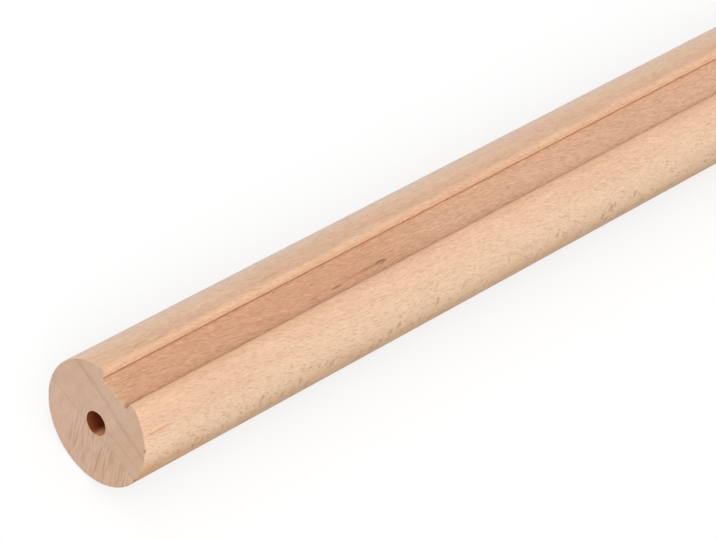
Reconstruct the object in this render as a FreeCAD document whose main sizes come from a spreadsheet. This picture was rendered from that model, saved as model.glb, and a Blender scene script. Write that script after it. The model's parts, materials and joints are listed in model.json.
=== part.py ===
import FreeCAD, Part
import math
import os
import Sketcher

# A length of round wooden stair handrail, lying with its bracket groove up.
# The rail runs along X, its middle is at X = 0 and its lowest line lies on Z = 0.

doc = FreeCAD.newDocument("handrail_length")

# Driving dimensions, in millimetres
SIZES = {
    "rail_length": 1500,   # a length that round handrail is sold in
    "rail_diameter": 42,   # the round section
    "groove_width": 12,    # between the groove's two walls
    "groove_depth": 5,     # from the crown of the round down to the groove's flat floor
    "lip_radius": 1.5,     # rounding of the groove's two lips
    "bore_diameter": 8,    # the blind bore in each end, on the rail's axis
    "bore_depth": 50,      # from the end face to the bore's flat bottom
}
sheet = doc.addObject("Spreadsheet::Sheet", "Sizes")
for row, (alias, size) in enumerate(SIZES.items(), start=1):
    sheet.set(f"A{row}", alias)
    sheet.set(f"B{row}", str(size))
    sheet.setAlias(f"B{row}", alias)
doc.recompute()


def origin_plane(body, role):
    """One of the body's own origin planes, such as YZ_Plane."""
    return next(plane for plane in body.Origin.OriginFeatures if plane.Role == role)


def cross_sketch(body, name):
    """A sketch square across the rail: its x is the rail's Y, its y is Z, and it faces +X."""
    sketch = body.newObject("Sketcher::SketchObject", name)
    sketch.AttachmentSupport = [(origin_plane(body, "YZ_Plane"), "")]
    sketch.MapMode = "FlatFace"
    return sketch


def bind(sketch, constraint, expression):
    """Adds a dimension to the sketch and ties it to the sheet's cells."""
    index = sketch.addConstraint(constraint)
    sketch.setExpression(f"Constraints[{index}]", expression)


def circle_on_axis(sketch, diameter):
    """A circle on the rail's axis, half the rail's diameter above the floor; diameter is a cell's name."""
    axis_height = sheet.rail_diameter / 2
    radius = getattr(sheet, diameter) / 2
    centre = FreeCAD.Vector(0, axis_height, 0)
    circle = sketch.addGeometry(Part.Circle(centre, FreeCAD.Vector(0, 0, 1), radius))
    sketch.addConstraint(Sketcher.Constraint("PointOnObject", circle, 3, -2))
    bind(sketch, Sketcher.Constraint("DistanceY", -1, 1, circle, 3, axis_height), "Sizes.rail_diameter / 2")
    bind(sketch, Sketcher.Constraint("Diameter", circle, 2 * radius), f"Sizes.{diameter}")


def groove_rectangle(sketch):
    """The groove's section: its floor and walls, carried on above the crown by the groove's own depth."""
    half = sheet.groove_width / 2
    floor = sheet.rail_diameter - sheet.groove_depth
    height = 2 * sheet.groove_depth
    corners = [(-half, floor), (half, floor), (half, floor + height), (-half, floor + height)]
    points = [FreeCAD.Vector(y, z, 0) for y, z in corners]
    lines = [sketch.addGeometry(Part.LineSegment(points[i], points[(i + 1) % 4])) for i in range(4)]
    floor_line, wall_line, top_line, other_wall_line = lines
    for i in range(4):
        sketch.addConstraint(Sketcher.Constraint("Coincident", lines[i], 2, lines[(i + 1) % 4], 1))
    sketch.addConstraint(Sketcher.Constraint("Symmetric", floor_line, 1, floor_line, 2, -2))
    sketch.addConstraint(Sketcher.Constraint("Vertical", wall_line))
    sketch.addConstraint(Sketcher.Constraint("Horizontal", top_line))
    sketch.addConstraint(Sketcher.Constraint("Vertical", other_wall_line))
    bind(sketch, Sketcher.Constraint("DistanceX", floor_line, 1, floor_line, 2, 2 * half), "Sizes.groove_width")
    bind(sketch, Sketcher.Constraint("DistanceY", -1, 1, floor_line, 1, floor),
         "Sizes.rail_diameter - Sizes.groove_depth")
    bind(sketch, Sketcher.Constraint("DistanceY", wall_line, 1, wall_line, 2, height), "2 * Sizes.groove_depth")


def lip_edges(shape):
    """The two long edges where the groove's walls meet the round."""
    half = sheet.groove_width / 2
    floor = sheet.rail_diameter - sheet.groove_depth
    near = 1e-4
    names = []
    for number, edge in enumerate(shape.Edges, start=1):
        ends = [vertex.Point for vertex in edge.Vertexes]
        along = abs(edge.BoundBox.XLength - sheet.rail_length) < near
        on_wall = all(abs(abs(p.y) - half) < near and p.z > floor + near for p in ends)
        if along and on_wall:
            names.append(f"Edge{number}")
    return names


def check_cut(name, before, after, expected):
    """Stops the build if a cut took away less or more wood than its size says."""
    taken = before - after
    if abs(taken - expected) > 1e-3 * expected:
        raise RuntimeError(f"{name} takes {taken:.1f} cubic mm away, not {expected:.1f}")


handrail = doc.addObject("PartDesign::Body", "handrail")
handrail.Label = "handrail"

# The round bar, the same distance to each side of X = 0
round_section = cross_sketch(handrail, "round_section")
circle_on_axis(round_section, "rail_diameter")
round_bar = handrail.newObject("PartDesign::Pad", "round_bar")
round_bar.Profile = round_section
round_bar.SideType = "Symmetric"
round_bar.setExpression("Length", "Sizes.rail_length")
doc.recompute()
bar_volume = round_bar.Shape.Volume

# The bracket groove, cut along the whole rail at its crown
groove_section = cross_sketch(handrail, "groove_section")
groove_rectangle(groove_section)
bracket_groove = handrail.newObject("PartDesign::Pocket", "bracket_groove")
bracket_groove.Profile = groove_section
bracket_groove.Type = "ThroughAll"
bracket_groove.SideType = "Symmetric"
doc.recompute()
rail_radius = sheet.rail_diameter / 2
half_width = sheet.groove_width / 2
lip_height = math.sqrt(rail_radius**2 - half_width**2)
area_over_groove = rail_radius**2 * math.asin(half_width / rail_radius) + half_width * lip_height
groove_area = area_over_groove - sheet.groove_width * (rail_radius - sheet.groove_depth)
check_cut("the groove", bar_volume, bracket_groove.Shape.Volume, groove_area * sheet.rail_length)

# The groove's rounded lips
rounded_lips = handrail.newObject("PartDesign::Fillet", "rounded_lips")
rounded_lips.Base = (bracket_groove, lip_edges(bracket_groove.Shape))
rounded_lips.setExpression("Radius", "Sizes.lip_radius")
doc.recompute()
lipped_volume = rounded_lips.Shape.Volume

# The blind bore in the end at -X, drilled towards +X, and the same bore in the other end
bore_section = cross_sketch(handrail, "bore_section")
bore_section.setExpression("AttachmentOffset.Base.z", "-Sizes.rail_length / 2")
circle_on_axis(bore_section, "bore_diameter")
near_bore = handrail.newObject("PartDesign::Pocket", "near_bore")
near_bore.Profile = bore_section
near_bore.Type = "Length"
near_bore.Reversed = True
near_bore.setExpression("Length", "Sizes.bore_depth")
doc.recompute()
both_bores = handrail.newObject("PartDesign::Mirrored", "both_bores")
both_bores.Originals = [near_bore]
both_bores.MirrorPlane = (origin_plane(handrail, "YZ_Plane"), [""])
handrail.Tip = both_bores
doc.recompute()
bore_volume = math.pi / 4 * sheet.bore_diameter**2 * sheet.bore_depth
check_cut("the pair of bores", lipped_volume, handrail.Shape.Volume, 2 * bore_volume)

for item in doc.Objects:
    if "Invalid" in item.State or "Error" in item.State:
        raise RuntimeError(f"{item.Label} failed: {item.State}")
if handrail.Shape.isNull() or not handrail.Shape.isValid():
    raise RuntimeError(f"{handrail.Label} has no valid shape")

os.makedirs("parts", exist_ok=True)
handrail.Shape.exportStep(f"parts/{handrail.Label}.step")
print(f"{handrail.Label}: {handrail.Shape.Volume:.0f} cubic mm, {handrail.Shape.BoundBox}")
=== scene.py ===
import json
import math

import bmesh
import bpy
from mathutils import Matrix, Vector


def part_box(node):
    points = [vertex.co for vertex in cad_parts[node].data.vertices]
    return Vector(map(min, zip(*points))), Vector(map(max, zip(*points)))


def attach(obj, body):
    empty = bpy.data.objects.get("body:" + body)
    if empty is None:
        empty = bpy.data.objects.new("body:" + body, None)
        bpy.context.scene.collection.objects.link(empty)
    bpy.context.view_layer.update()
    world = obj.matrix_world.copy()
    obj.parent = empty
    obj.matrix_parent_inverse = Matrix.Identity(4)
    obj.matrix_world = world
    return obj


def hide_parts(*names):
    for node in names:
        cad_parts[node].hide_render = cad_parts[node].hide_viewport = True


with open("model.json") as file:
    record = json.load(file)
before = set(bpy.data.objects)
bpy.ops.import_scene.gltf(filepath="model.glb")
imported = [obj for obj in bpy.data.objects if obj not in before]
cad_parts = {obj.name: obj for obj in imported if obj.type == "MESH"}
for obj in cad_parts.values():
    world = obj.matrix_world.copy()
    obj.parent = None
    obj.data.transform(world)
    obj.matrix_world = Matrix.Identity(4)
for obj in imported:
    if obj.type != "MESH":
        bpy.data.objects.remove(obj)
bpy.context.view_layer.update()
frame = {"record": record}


# The handrail
# One length of European beech, moulded round, sanded and left bare. A flat-bottomed groove for the brackets
# is routed along its crown, with the groove's two lips eased. Both ends are sawn square and drilled on the
# axis for a dowel.
mounts = {mount["name"]: mount for mount in frame["record"]["mounts"]}
rail_low, rail_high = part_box("handrail")
near_end = rail_low.x
far_end = rail_high.x
bore_radius = mounts["near_end_bore"]["dims"]["r_mm"] / 1000
bore_depth = mounts["near_end_bore"]["dims"]["length_mm"] / 1000
axis_height = mounts["near_end_bore"]["pos_m"][2]
groove_floor = mounts["bracket_groove_floor"]["pos_m"][2]
sanded_off = 0.00005
rail_radius = rail_high.y - sanded_off
groove_half = 0.006
lip_radius = 0.0015
lip_y = groove_half + lip_radius
lip_z = axis_height + math.sqrt((rail_radius - lip_radius) ** 2 - lip_y**2)
lip_angle = math.atan2(lip_y, lip_z - axis_height)
lip_turn = math.pi / 2 + lip_angle
wall_height = lip_z - groove_floor
floor_steps = 24
wall_steps = 3
lip_steps = 10
round_steps = 160
touching = 1e-6


def draw_line(y, z, steps):
    """Carries the outline on from its last point, straight."""
    for _ in range(steps):
        bpy.ops.mesh.extrude_region_move(TRANSFORM_OT_translate={"value": (0, y / steps, z / steps)})


def draw_arc(y, z, turn, steps):
    """Carries the outline on from its last point, round a centre."""
    bpy.ops.mesh.spin(steps=steps, angle=turn, center=(near_end, y, z), axis=(-1, 0, 0))


# The outline at the near end: one point in the middle of the groove's floor, carried on all the way round
bpy.ops.object.select_all(action="DESELECT")
bpy.ops.mesh.primitive_plane_add(size=groove_half, location=(near_end, 0, groove_floor))
rail = bpy.context.object
rail.name = "handrail_beech"
bpy.ops.object.transform_apply(location=True, rotation=True, scale=True)
bpy.ops.object.mode_set(mode="EDIT")
bpy.ops.mesh.select_mode(type="VERT")
bpy.ops.mesh.merge(type="CENTER")
draw_line(-groove_half, 0, floor_steps)
draw_line(0, wall_height, wall_steps)
draw_arc(-lip_y, lip_z, lip_turn, lip_steps)
draw_arc(0, axis_height, 2 * (math.pi - lip_angle), round_steps)
draw_arc(lip_y, lip_z, lip_turn, lip_steps)
draw_line(0, -wall_height, wall_steps)
draw_line(-groove_half, 0, floor_steps)
bpy.ops.mesh.select_all(action="SELECT")
bpy.ops.mesh.remove_doubles(threshold=touching)

# The outline drawn out along the rail, a station every 25 mm
station = 0.025
for _ in range(round((far_end - near_end) / station)):
    bpy.ops.mesh.extrude_region_move(TRANSFORM_OT_translate={"value": (station, 0, 0)})

# The two ends, each with its way into the wood: the bore and its flat bottom, and the sawn face around it
ends = ((near_end, 1), (far_end, -1))
bore_sides = 72
for end, inward in ends:
    bpy.ops.mesh.primitive_circle_add(vertices=bore_sides, radius=bore_radius, location=(end, 0, axis_height),
                                      rotation=(0, math.pi / 2, 0))
    bpy.ops.mesh.extrude_region_move(TRANSFORM_OT_translate={"value": (inward * bore_depth, 0, 0)})
    bpy.ops.mesh.edge_face_add()
    bpy.ops.mesh.select_all(action="DESELECT")
    edit = bmesh.from_edit_mesh(rail.data)
    for vertex in edit.verts:
        vertex.select = abs(vertex.co.x - end) < touching
    edit.select_flush(True)
    bmesh.update_edit_mesh(rail.data)
    bpy.ops.mesh.fill(use_beauty=True)
bpy.ops.mesh.select_all(action="SELECT")
bpy.ops.mesh.normals_make_consistent(inside=False)

# The eased edges: the ends' outer edges first, then the mouths of the bores
eased_edge = 0.00025
bore_edge = 0.0001
edge_rounds = 2
bpy.ops.mesh.select_mode(type="EDGE")
for width, on_bore in ((eased_edge, False), (bore_edge, True)):
    bpy.ops.mesh.select_all(action="DESELECT")
    edit = bmesh.from_edit_mesh(rail.data)
    for edge in edit.edges:
        one, other = (vertex.co for vertex in edge.verts)
        square_across = abs(one.x - other.x) < touching
        on_end = square_across and far_end - abs(one.x) < touching
        turns_away = any(abs(face.normal.x) < 0.5 for face in edge.link_faces)
        by_bore = math.hypot(one.y, one.z - axis_height) < 1.5 * bore_radius
        edge.select = on_end and turns_away and by_bore == on_bore
    edit.select_flush_mode()
    bmesh.update_edit_mesh(rail.data)
    bpy.ops.mesh.bevel(offset=width, offset_type="OFFSET", segments=edge_rounds, affect="EDGES")
bpy.ops.mesh.select_mode(type="VERT")
bpy.ops.mesh.select_all(action="DESELECT")
bpy.ops.object.mode_set(mode="OBJECT")

# The saw has torn the fibres at both ends: a little all round the edge, more in two nicks, and most along the
# groove's floor
fray = bpy.data.textures.new("fray", "CLOUDS")
fray.noise_scale = 0.001
fray.contrast = 2.5
fray.use_clamp = True
torn_depth = 0.0022
torn_floor = 0.9
torn_nick = 0.3
torn_edge = 0.06
nick_angles = [math.radians(61.5), math.radians(99)]
nick_half = 0.05
for end, inward in ends:
    torn = rail.vertex_groups.new(name="torn_near_end" if end == near_end else "torn_far_end")
    for vertex in rail.data.vertices:
        back = inward * (vertex.co.x - end)
        y, z = vertex.co.y, vertex.co.z - axis_height
        if not 1e-5 < back < 2 * eased_edge or math.hypot(y, z) < 2 * bore_radius:
            continue
        share = torn_edge
        if any(abs(math.atan2(-y, z) - angle) < nick_half for angle in nick_angles):
            share = torn_nick
        if abs(y) < groove_half - eased_edge and z > 0:
            share = torn_floor
        torn.add([vertex.index], share, "REPLACE")
    tear = rail.modifiers.new("tear", "DISPLACE")
    tear.texture = fray
    tear.texture_coords = "LOCAL"
    tear.direction = "X"
    tear.vertex_group = torn.name
    tear.mid_level = 0
    tear.strength = inward * torn_depth
    bpy.ops.object.modifier_apply(modifier="tear")
bpy.ops.object.shade_smooth_by_angle(angle=math.radians(30))


# The wood, worked out in the nodes of four materials. Its short dark rays show as fine dashes on the flat of
# the grain, as broad flecks on its edge and as lines on the sawn ends
class Wire:
    """A socket of a material's nodes, on which shader maths is written as plain arithmetic."""

    def __init__(self, tree, socket=None):
        self.tree = tree
        self.socket = socket

    def node(self, kind, settings, sockets, output=0):
        """Adds a node: its settings first, then a value or a link for each of its sockets."""
        node = self.tree.nodes.new(kind)
        for name, setting in settings.items():
            setattr(node, name, setting)
        for name, given in sockets.items():
            if isinstance(given, Wire):
                self.tree.links.new(given.socket, node.inputs[name])
            else:
                node.inputs[name].default_value = given
        return Wire(self.tree, node.outputs[output])

    def maths(self, operation, *others):
        """A Math node's operation on this and, where it takes more, on others."""
        return self.node("ShaderNodeMath", {"operation": operation}, dict(enumerate((self, *others))))

    def __add__(self, other):
        return self.maths("ADD", other)

    def __sub__(self, other):
        return self.maths("SUBTRACT", other)

    def __rsub__(self, other):
        return self.node("ShaderNodeMath", {"operation": "SUBTRACT"}, {0: other, 1: self})

    def __mul__(self, other):
        return self.maths("MULTIPLY", other)

    def __abs__(self):
        return self.maths("ABSOLUTE")

    __radd__ = __add__
    __rmul__ = __mul__

    def step(self, low, high):
        """0 at low and before it, 1 at high and after it, and a soft step between."""
        return self.node("ShaderNodeMapRange", {"interpolation_type": "SMOOTHSTEP"},
                         {"Value": self, "From Min": low, "From Max": high})

    def blend(self, first, second):
        """The first colour where this is 0, the second where it is 1."""
        return self.node("ShaderNodeMix", {"data_type": "RGBA"}, {0: self, 6: first, 7: second}, 2)

    def shaded(self, level):
        """A colour made lighter or darker by a level that is 1 where it stays."""
        return self.node("ShaderNodeVectorMath", {"operation": "SCALE"}, {0: self, "Scale": level})

    def parts(self):
        """The three parts of a vector."""
        split = self.node("ShaderNodeSeparateXYZ", {}, {"Vector": self})
        return [Wire(self.tree, out) for out in split.socket.node.outputs]

    def joined(self, y, z):
        """A vector with this as its first part."""
        return self.node("ShaderNodeCombineXYZ", {}, {"X": self, "Y": y, "Z": z})

    def scaled(self, x, y, z):
        """A place measured in cells of the given size."""
        return self.node("ShaderNodeMapping", {}, {"Vector": self, "Scale": (1 / x, 1 / y, 1 / z)})

    def mottle(self, detail=2.0):
        """Soft noise from 0 to 1, one lump to a cell."""
        return self.node("ShaderNodeTexNoise", {}, {"Vector": self, "Scale": 1.0, "Detail": detail})

    def lenses(self, size, share):
        """One dark lens in each cell, of a size in cells, in a share of the cells."""
        cell = self.node("ShaderNodeTexVoronoi", {}, {"Vector": self, "Scale": 1.0}, "Distance")
        chance = Wire(self.tree, cell.socket.node.outputs["Color"]).parts()[0]
        return cell.step(size, 0.6 * size) * chance.step(1 - share, 1.4 - share)

    def near(self, spot, reach):
        """1 at a spot, falling to 0 at its reach each way."""
        away = self.node("ShaderNodeMapping", {"vector_type": "TEXTURE"},
                         {"Vector": self, "Location": spot, "Scale": reach})
        return self.node("ShaderNodeVectorMath", {"operation": "LENGTH"}, {0: away}, "Value").step(1.0, 0.3)


def paint(red, green, blue):
    """A colour as a screen shows it, 0 to 255, made ready for a shader."""
    return (*((value / 255) ** 2.2 for value in (red, green, blue)), 1)


# How the rail lay in the tree: its fibres run a few degrees off the rail's line and wave a little, and the
# heart was above the groove
fibre_slope = math.radians(7.5)
heart_lean = math.radians(2)
fibre = Vector((1, -math.tan(fibre_slope), 0)).normalized()
towards_heart = Vector((0, math.sin(heart_lean), math.cos(heart_lean)))
towards_heart = (towards_heart - towards_heart.dot(fibre) * fibre).normalized()
grain_turn = Matrix((fibre, towards_heart.cross(fibre), towards_heart)).to_euler()
wave_start_mm = 55
wave_length_mm = 160
wave_height_mm = 1.9


class Beech:
    """A material of this piece of beech: its rays, pores and fibres run on from one surface to the next."""

    def __init__(self, name, roughness):
        """Lays out the grain in mm, along the fibres, across them and outwards, and what is seen in it."""
        self.material = bpy.data.materials.new(name)
        self.material.use_nodes = True
        self.shader = self.material.node_tree.nodes["Principled BSDF"]
        self.shader.inputs["Roughness"].default_value = roughness
        self.place = Wire(self.material.node_tree).node("ShaderNodeTexCoord", {}, {}, "Object")
        along, across, outward = self.place.node("ShaderNodeMapping", {}, {
            "Vector": self.place, "Scale": (1000, 1000, 1000), "Rotation": grain_turn}).parts()
        wave = ((along - 1000 * near_end - wave_start_mm) * (2 * math.pi / wave_length_mm)).maths("SINE")
        across = across + wave_height_mm * wave
        self.grain = along.joined(across, outward)
        stagger = 5 * self.grain.scaled(12, 0.9, 3).mottle(1.0)
        staggered = (along + stagger).joined(across, outward)
        self.fibres = self.grain.scaled(30, 0.6, 0.6).mottle(3.0)
        self.pores = self.grain.scaled(3.0, 0.33, 0.5).mottle(2.0)
        self.hatch = self.pores.step(0.4, 0.6)
        self.rays = staggered.scaled(4.6, 0.45, 7).lenses(0.4, 0.45)
        self.fine_rays = staggered.scaled(2.6, 0.36, 5).lenses(0.42, 0.7)
        self.broad_rays = self.grain.scaled(3.4, 4, 6.5).lenses(0.36, 0.85)
        self.tint = self.grain.scaled(24, 4, 4).mottle()

    def mark(self, back, y, z, reach):
        """1 at a spot so far back from the near end, falling to 0 at its reach each way."""
        return self.place.near((near_end + back, y, z), reach)

    def nicks(self):
        """Where the near end's edge is nicked, and darker in the nicks."""
        marks = 0.0
        for angle in nick_angles:
            y = -rail_radius * math.sin(angle)
            z = axis_height + rail_radius * math.cos(angle)
            marks = marks + self.mark(0, y, z, (0.0005, 0.0008, 0.0013))
        return marks * 0.6

    def finish(self, colour, relief):
        """Puts the colour and the relief on the material, and the material on the rail."""
        bump = relief.node("ShaderNodeBump", {}, {"Height": relief, "Strength": 0.8, "Distance": 0.0003})
        self.material.node_tree.links.new(colour.socket, self.shader.inputs["Base Color"])
        self.material.node_tree.links.new(bump.socket, self.shader.inputs["Normal"])
        rail.data.materials.append(self.material)


# The moulded round and the lips: pinker towards the crown, paler lower down, olive at the rail's waist, and a
# painted sheen on the upper back
pale_beech = paint(237, 200, 167)
pink_beech = paint(223, 181, 149)
crown_beech = paint(214, 170, 137)
low_beech = paint(226, 185, 143)
waist_beech = paint(212, 171, 129)
lip_shade = paint(206, 161, 130)
painted_sheen_beech = paint(239, 209, 189)
handled_beech = paint(208, 148, 94)
straw_tint = paint(230, 196, 164)
rose_tint = paint(230, 182, 159)
ray_brown = paint(182, 126, 84)
fleck_brown = paint(176, 124, 72)
year_brown = paint(206, 144, 100)
streak_brown = paint(178, 130, 90)
# The nicks in the near end's edge are coloured darker
nick_dark_brown = paint(112, 76, 48)
wood = Beech("beech_round", 0.55)
along, across, height = wood.place.parts()
drift = wood.grain.scaled(150, 12, 12).mottle()
level = height + (drift - 0.5) * 0.012
colour = level.step(0.031, 0.0405).blend(pale_beech, pink_beech)
crown = height.step(0.0395, 0.0405) * (0.6 + across.step(0.0, -0.005) * 0.4)
colour = crown.blend(colour, crown_beech)
colour = level.step(0.029, 0.021).blend(colour, low_beech)
colour = height.step(0.025, 0.0205).blend(colour, waist_beech)
beside_lip = across.step(0.0125, 0.0095) * across.step(0.0065, 0.0085)
colour = (beside_lip * 0.5).blend(colour, lip_shade)
# Painted sheen: the upper back is paled towards its top, as a grazing reflection of the white surround would
# pale it
painted_sheen_band = across.step(0.012, 0.019) * height.step(0.024, 0.033)
colour = (painted_sheen_band * 0.8).blend(colour, painted_sheen_beech)
handled = along.step(near_end + 0.04, near_end) * height.step(0.03, 0.021) * across.step(0.0, -0.01)
smears = wood.fibres.step(0.46, 0.6)
colour = (handled * (0.3 + smears * 0.5)).blend(colour, handled_beech)
colour = (wood.tint.step(0.5, 0.75) * 0.4).blend(colour, straw_tint)
colour = (wood.tint.step(0.5, 0.25) * 0.45).blend(colour, rose_tint)
colour = colour.shaded(1.03 + (wood.fibres - 0.5) * 0.2 + (wood.hatch - 0.5) * 0.12)
dashes = wood.rays * 0.26 + wood.fine_rays * 0.3
colour = dashes.blend(colour, ray_brown)
crowding = wood.grain.scaled(14, 30, 9).mottle() + along.step(near_end + 0.13, near_end + 0.09) * 0.14
clusters = crowding.step(0.36, 0.52) * height.step(0.031, 0.0285)
ragged = wood.grain.scaled(0.9, 1.5, 1.6).mottle().step(0.36, 0.56)
flecks = wood.broad_rays * clusters * ragged
colour = (flecks * 0.6).blend(colour, fleck_brown)
year_line = wood.mark(0.006, -0.01575, 0.0349, (0.009, 0.0006, 0.0006))
colour = (year_line * 0.62).blend(colour, year_brown)
long_streak = wood.mark(0.023, 0.0081, 0.0403, (0.0065, 0.0004, 0.001))
short_streak = wood.mark(0.018, 0.0094, 0.0397, (0.004, 0.0005, 0.001))
further_streak = wood.mark(0.0735, 0.0095, 0.0397, (0.0065, 0.0006, 0.001))
streaks = long_streak + short_streak + further_streak
colour = (streaks * wood.pores.step(0.3, 0.6) * 0.6).blend(colour, streak_brown)
colour = wood.nicks().blend(colour, nick_dark_brown)
wood.finish(colour, wood.hatch * 0.1 - (wood.rays + wood.fine_rays) * 0.1)

# The groove's floor and walls: browner where the cutter has rubbed, with painted shade in the two inside
# corners and beside the -Y wall, and painted light on the floor beside the +Y wall. A small knot lies in the
# floor, with a trail and two stains beside it. The torn fibres at the ends are paler
floor_beech = paint(207, 164, 134)
rubbed_beech = paint(200, 152, 120)
painted_light_floor = paint(218, 178, 146)
painted_shadow_floor = paint(160, 106, 74)
wall_beech = paint(236, 199, 167)
floor_ray_brown = paint(158, 106, 75)
corner_shade_brown = paint(146, 94, 56)
trail_brown = paint(150, 98, 68)
stain_red = paint(158, 86, 58)
knot_brown = paint(134, 86, 56)
torn_beech = paint(204, 170, 138)
fringe_beech = paint(206, 168, 130)
splinter_brown = paint(140, 92, 64)
wood = Beech("beech_groove", 0.6)
along, across, height = wood.place.parts()
off_wall = groove_half - abs(across)
off_floor = height - groove_floor
drift = wood.grain.scaled(120, 8, 8).mottle()
browner = along.step(near_end + 0.155, near_end + 0.11) + drift.step(0.5, 0.7) * 0.6
colour = browner.blend(floor_beech, rubbed_beech)
# Painted light: the floor is made paler beside the +Y wall, where the corner's shade would darken it
colour = (across.step(0.0025, 0.005) * 0.3).blend(colour, painted_light_floor)
# Painted shadow: the floor is darkened beside the -Y wall, where the lip casts its shadow
colour = (across.step(-0.0042, -0.0056) * 0.3).blend(colour, painted_shadow_floor)
on_wall = off_floor.step(0.0002, 0.001)
off_the_wall = 1 - on_wall
colour = on_wall.blend(colour, wall_beech)
colour = colour.shaded(1.045 + (wood.fibres - 0.5) * 0.25 + (wood.hatch - 0.5) * 0.2)
dashes = (wood.rays * 0.32 + wood.fine_rays * 0.36) * off_the_wall
colour = dashes.blend(colour, floor_ray_brown)
# Painted shade: a thin dark line in both inside corners, where the walls meet the floor
corner = (abs(off_wall) + abs(off_floor)).step(0.0004, 0.0002)
colour = (corner * 0.45).blend(colour, corner_shade_brown)
knot_back = 0.1138
knot_y = -0.0023
knot = wood.mark(knot_back, knot_y, groove_floor, (0.0037, 0.001, 0.01))
core = wood.mark(knot_back - 0.0006, knot_y - 0.0002, groove_floor, (0.0024, 0.00045, 0.01))
trail = wood.mark(knot_back - 0.0096, knot_y, groove_floor, (0.012, 0.0007, 0.01))
dark_trail = wood.mark(knot_back - 0.0052, knot_y + 0.0001, groove_floor, (0.0055, 0.0006, 0.01))
stain = wood.mark(knot_back - 0.0206, knot_y - 0.0006, groove_floor, (0.0035, 0.0005, 0.01))
faint_stain = wood.mark(knot_back - 0.0298, knot_y - 0.0004, groove_floor, (0.0035, 0.0005, 0.01))
colour = (trail * 0.3 + dark_trail * 0.28).blend(colour, trail_brown)
colour = (stain * 0.8 + faint_stain * 0.4).blend(colour, stain_red)
colour = (knot * 0.85 - core * 0.55).blend(colour, knot_brown)
torn_slope = off_floor.step(0.0, -0.00008) * wood.pores.step(0.3, 0.6)
colour = torn_slope.blend(colour, torn_beech)
fringe = (far_end - abs(along)).step(0.0032, 0.0004) * wood.pores.step(0.25, 0.6)
colour = (fringe * off_the_wall * 0.55).blend(colour, fringe_beech)
splinter = wood.mark(0.0012, -0.0051, groove_floor, (0.002, 0.0013, 0.002))
colour = (splinter * wood.pores.step(0.35, 0.6) * 0.8).blend(colour, splinter_brown)
wood.finish(colour, wood.hatch * 0.1 - (wood.rays + wood.fine_rays) * off_the_wall * 0.1)

# The sawn ends: greyer, with the rays seen end on as fine lines below the bore, all leaning one way, and soft
# bands where one year's growth meets the next. Places are in mm from the axis
end_beech = paint(221, 185, 161)
end_blotch = paint(214, 176, 150)
end_side = paint(213, 176, 143)
young_wood = paint(214, 182, 150)
year_band = paint(168, 130, 104)
end_ray_brown = paint(160, 120, 92)
wood = Beech("beech_end_grain", 0.7)
across, height = wood.place.parts()[1:]
across = across * 1000
height = (height - axis_height) * 1000
wander = wood.grain.scaled(100, 6, 6).mottle() - 0.5
level = height + wander * 1.5
speckle = wood.grain.scaled(4, 0.4, 0.4).mottle(3.0)
blotch = wood.grain.scaled(60, 3, 5).mottle(2.0)
below_bore = level.step(-2.4, -3.6)
lean = across - 0.28 * height + wander
lines = lean.joined(height, 0.0).scaled(0.75, 9, 1).mottle(1.0)
lines = lines.step(0.42, 0.68) * below_bore * (0.25 + 0.75 * across.step(10, 4))
dark_line = abs(across - 0.17 * height + 4.85 + wander * 0.5).step(0.3, 0.05)
dark_line = dark_line * height.step(-3, -5) * height.step(-18, -15)
colour = blotch.step(0.3, 0.7).blend(end_beech, end_blotch)
colour = (across.step(-4, -14) * 0.5).blend(colour, end_side)
first_year = level - 10 - 0.13 * across + 1.2 * across.step(2, -9)
colour = (first_year.step(-0.5, 0.5) * 0.3).blend(colour, young_wood)
colour = colour.shaded(1 + (speckle - 0.5) * 0.35 + below_bore * 0.06)
first_year = first_year.step(2.4, 0.2) * first_year.step(-0.3, 0.1)
second_year = level - 2.2 - 0.06 * across
second_year = second_year.step(1.6, 0.2) * second_year.step(-0.3, 0.1) * across.step(-3, -6)
third_year = abs(level + 2.8).step(0.7, 0.1)
colour = (first_year * 0.28 + second_year * 0.12 + third_year * 0.14).blend(colour, year_band)
colour = (lines * 0.36 + dark_line * 0.45).blend(colour, end_ray_brown)
colour = wood.nicks().blend(colour, nick_dark_brown)
wood.finish(colour, speckle * 0.3 - lines * 0.2)

# The drilled bores: rubbed dark by the bit, with painted shade that grows darker the deeper they go, and
# painted light on one side of the mouth
mouth_brown = paint(124, 68, 42)
deep_shade_brown = paint(92, 40, 18)
painted_light_bore = paint(228, 162, 116)
burr_beech = paint(204, 146, 104)
wood = Beech("beech_bore", 0.7)
along, across = wood.place.parts()[:2]
depth = far_end - abs(along)
# Painted shade: the bore's wall darkens over its first 4 mm of depth
colour = depth.step(0.0, 0.004).blend(mouth_brown, deep_shade_brown)
# Painted light: the -Y side of the bore is paler near the mouth, fading out 12 mm in, as if lit through the
# mouth
painted_light_mask = across.step(0.0, -0.003) * depth.step(0.012, 0.004)
colour = painted_light_mask.blend(colour, painted_light_bore)
burr = wood.mark(0.0005, -0.0026, axis_height - 0.003, (0.0016, 0.002, 0.0016))
colour = (burr * 0.7).blend(colour, burr_beech)
colour = colour.shaded(1 + (wood.fibres - 0.5) * 0.6)
wood.shader.inputs["Specular IOR Level"].default_value = 0.1
wood.finish(colour, wood.fibres * 0.5)

# Which of the four surfaces each face belongs to, in the order in which they were finished
round_face, groove_face, end_face, bore_face = range(4)
slack = 0.00005
torn_fall = 0.0005
for face in rail.data.polygons:
    if math.hypot(face.center.y, face.center.z - axis_height) < bore_radius + bore_edge:
        face.material_index = bore_face
    elif abs(face.normal.x) > 0.5:
        face.material_index = end_face
        face.use_smooth = abs(face.normal.x) < 0.99
    elif abs(face.center.y) < groove_half + slack and face.center.z > groove_floor - torn_fall:
        face.material_index = groove_face
    else:
        face.material_index = round_face

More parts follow.
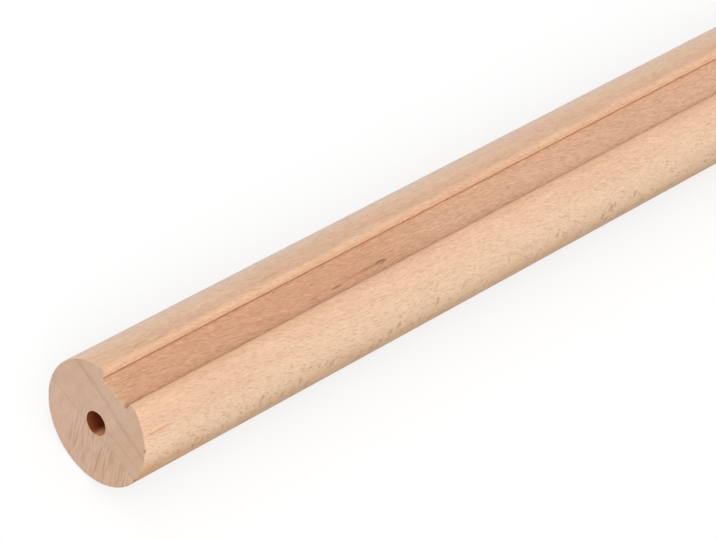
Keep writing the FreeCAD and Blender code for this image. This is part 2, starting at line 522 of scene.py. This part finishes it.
# The map that the wood is laid out on. The section is unrolled into three strips, each with its start along
# the rail, its size and its row, and the first 250 mm at the near end are the largest. Beside them lie the
# ends, the bores and the bores' bottoms, those of the near end named first
wall_top = groove_half + wall_height
lip_top = wall_top + lip_radius * lip_turn
half_girth = lip_top + rail_radius * (math.pi - lip_angle)
sheet = 1.024
margin = 0.004
strips = [(near_end, 3.3, 0.004), (near_end + 0.25, 1.62, 0.462), (near_end + 0.875, 1.62, 0.69)]
end_sizes = (4.2, 2.0)
end_columns = (0.925, 0.06)
end_rows = (0.1, 0.966)
bore_size = 1.6
bore_columns = (0.16, 0.23)
bore_row = 0.93
bottom_size = 1.5
bottom_columns = (0.30, 0.34)
bottom_row = 0.96


def girth(y, z):
    """The way round the section from the middle of the groove's floor to a place on the outline."""
    angle = math.atan2(abs(y), z - axis_height)
    if angle >= lip_angle:
        return lip_top + rail_radius * (angle - lip_angle)
    if z > lip_z:
        return wall_top + lip_radius * math.atan2(z - lip_z, lip_y - abs(y))
    return abs(y) + max(0, z - groove_floor)


unrolled = rail.data.uv_layers.new(name="OFBake")
for face in rail.data.polygons:
    which = 0 if face.center.x < 0 else 1
    for corner in face.loop_indices:
        co = rail.data.vertices[rail.data.loops[corner].vertex_index].co
        y, z = co.y, co.z - axis_height
        if face.material_index == bore_face and abs(face.normal.x) > 0.9:
            u = bottom_columns[which] + bottom_size * y
            v = bottom_row + bottom_size * z
        elif face.material_index == bore_face:
            angle = math.atan2(y, z)
            if angle < 0 and math.atan2(face.center.y, face.center.z - axis_height) > 0.5 * math.pi:
                angle += 2 * math.pi
            u = bore_columns[which] + bore_radius * angle * bore_size
            v = bore_row + bore_size * (far_end - abs(co.x))
        elif face.material_index == end_face:
            u = end_columns[which] + end_sizes[which] * y
            v = end_rows[which] + end_sizes[which] * z
        else:
            start, size, row = next(strip for strip in reversed(strips) if face.center.x > strip[0])
            side = 1 if face.center.y > 0 else -1
            u = margin + size * (co.x - start)
            v = row + size * (half_girth + side * girth(co.y, co.z))
        unrolled.data[corner].uv = (u / sheet, v / sheet)

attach(rail, "root")
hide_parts("handrail")


# The floor
# A seamless sheet of matt white paper, rolled out under the rail. It looks white and keeps the rail's soft
# shadow, and throws only a little light back up at the wood.
def looked_at(tree):
    """1 for what the eye sees, also reflected or through glass, and 0 for the light that is given off."""
    ray = Wire(tree).node("ShaderNodeLightPath", {}, {}).socket.node.outputs
    straight = Wire(tree, ray["Is Camera Ray"])
    reflected = Wire(tree, ray["Is Glossy Ray"])
    through_glass = Wire(tree, ray["Is Transmission Ray"])
    return (straight + reflected + through_glass).maths("MINIMUM", 1.0)


floor_size = 60
paper_level = 0.2
paper_seen_level = 0.08
paper_glow = 0.72
bpy.ops.object.select_all(action="DESELECT")
bpy.ops.mesh.primitive_plane_add(size=floor_size, location=(0, 0, 0))
floor = bpy.context.object
floor.name = "studio_floor"
paper = bpy.data.materials.new("white_paper")
paper.use_nodes = True
seen = looked_at(paper.node_tree)
shader = paper.node_tree.nodes["Principled BSDF"]
paper.node_tree.links.new((paper_level + seen * paper_seen_level).socket, shader.inputs["Base Color"])
paper.node_tree.links.new((seen * paper_glow).socket, shader.inputs["Emission Color"])
shader.inputs["Emission Strength"].default_value = 1.0
shader.inputs["Roughness"].default_value = 1.0
shader.inputs["Specular IOR Level"].default_value = 0.0
floor.data.materials.append(paper)


# The lights
# An even white surround that looks pure white and lights a little less, and one large square soft box behind
# the viewer, somewhat lower and to the left.
end_centre = Vector((near_end, 0, axis_height))
key_way = Vector((-0.9, -0.45, 0.75)).normalized()
key_distance = 5.0
key_level = 0.5
key = bpy.data.lights.new("key_box", "AREA")
key.shape = "SQUARE"
key.size = 3.5
key.energy = key_level * (math.pi * key_distance) ** 2
key_box = bpy.data.objects.new("key_box", key)
bpy.context.scene.collection.objects.link(key_box)
key_box.location = end_centre + key_distance * key_way
key_box.rotation_euler = key_way.to_track_quat("Z", "Y").to_euler()
surround_level = 0.85
world = bpy.data.worlds.new("white_surround")
bpy.context.scene.world = world
world.use_nodes = True
strength = surround_level + looked_at(world.node_tree) * (1 - surround_level)
background = world.node_tree.nodes["Background"]
background.inputs["Color"].default_value = (1, 1, 1, 1)
world.node_tree.links.new(strength.socket, background.inputs["Strength"])


# The camera
# It looks down along the rail from above its near end, with a long lens, and is rolled on its own axis. Its
# place is given in radii of the rail from the middle of the near end.
camera_data = bpy.data.cameras.new("camera")
camera = bpy.data.objects.new("camera", camera_data)
bpy.context.scene.collection.objects.link(camera)
camera_data.sensor_width = 36
camera_data.lens = 196.9
camera_radii = Vector((-32.08, -14.79, 43.26))
right = Vector((0.68277, -0.62471, 0.37882))
up = Vector((0.35981, 0.73874, 0.56983))
back = right.cross(up)
turn = Matrix((right, up, back)).transposed().to_4x4()
camera.matrix_world = Matrix.Translation(end_centre + rail_high.y * camera_radii) @ turn
bpy.context.scene.camera = camera

bpy.context.scene.view_settings.view_transform = "Standard"
